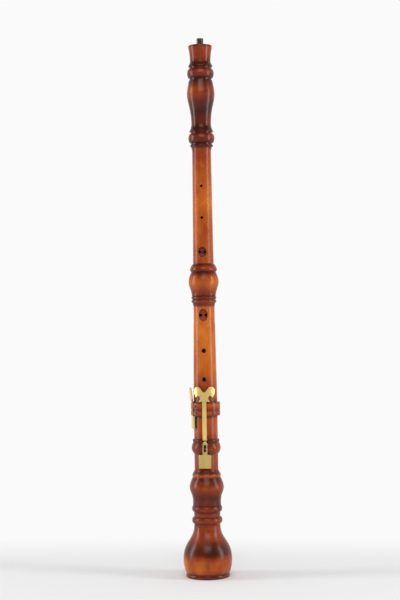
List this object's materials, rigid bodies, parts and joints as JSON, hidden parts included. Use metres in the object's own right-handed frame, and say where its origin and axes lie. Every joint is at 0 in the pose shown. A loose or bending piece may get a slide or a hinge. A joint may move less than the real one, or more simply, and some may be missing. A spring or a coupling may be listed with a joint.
{
  "type": "oboe damore",
  "caption": "Baroque oboe d'amore of turned boxwood in jointed sections, with bulb bell, brass keys and a black crook socket.",
  "frame": {"origin": "centre of the bell's foot, on the surface it stands on", "axes": "+Z along the bore towards the crook, -Y out of the finger holes, the E flat key between -X and -Y"},
  "size_m": [0.0574, 0.0574, 0.6334],
  "materials": {
    "dark_boxwood": "stained and oiled, glossy",
    "light_boxwood": "stained and oiled, glossy",
    "brass": "satin, hand filed",
    "spring_brass": "hard rolled",
    "steel_pin": "drawn wire",
    "leather": "dark, soft",
    "waxed_thread": "waxed",
    "black_sleeve": "satin black"
  },
  "bodies": {
    "bell": {"bell": "dark_boxwood"},
    "middle": {"middle_joint": "light_boxwood", "middle_tenon_thread": "waxed_thread", "great_key_touch_pin": "steel_pin", "great_key_flap_pin": "steel_pin", "e_flat_pin": "steel_pin"},
    "top": {"top_joint": "dark_boxwood", "top_tenon_thread": "waxed_thread", "crook_socket": "black_sleeve"},
    "great_touch": {"great_key_touch": "brass", "great_key_touch_spring": "spring_brass", "great_key_touch_rivet": "brass"},
    "great_flap": {"great_key_flap": "brass", "great_key_pad": "leather"},
    "e_flat": {"e_flat_key": "brass", "e_flat_spring": "spring_brass", "e_flat_rivet": "brass", "e_flat_pad": "leather"}
  },
  "joints": [
    {"name": "middle_joint_slide", "type": "slide", "parent": "bell", "child": "middle", "axis": [0, 0, 1], "range_m": [0, 0.026]},
    {"name": "top_joint_slide", "type": "slide", "parent": "middle", "child": "top", "axis": [0, 0, 1], "range_m": [0, 0.029]},
    {"name": "great_key_touch_pivot", "type": "hinge", "parent": "middle", "child": "great_touch", "pos_m": [0, -0.0143, 0.19265], "axis": [-1, 0, 0], "range_deg": [0, 2.04], "stiffness_Nm_per_rad": 0.1, "springref_deg": -11.46},
    {"name": "great_key_flap_pivot", "type": "hinge", "parent": "middle", "child": "great_flap", "pos_m": [0, -0.0143, 0.1514], "axis": [1, 0, 0], "range_deg": [0, 10]},
    {"name": "e_flat_pivot", "type": "hinge", "parent": "middle", "child": "e_flat", "pos_m": [-0.01344, -0.00489, 0.2011], "axis": [-0.342, 0.9397, 0], "range_deg": [0, 7], "stiffness_Nm_per_rad": 0.1, "springref_deg": -11.46}
  ],
  "couplings": [
    {"joint": "great_key_flap_pivot", "follows": "great_key_touch_pivot", "ratio": 4.9}
  ]
}
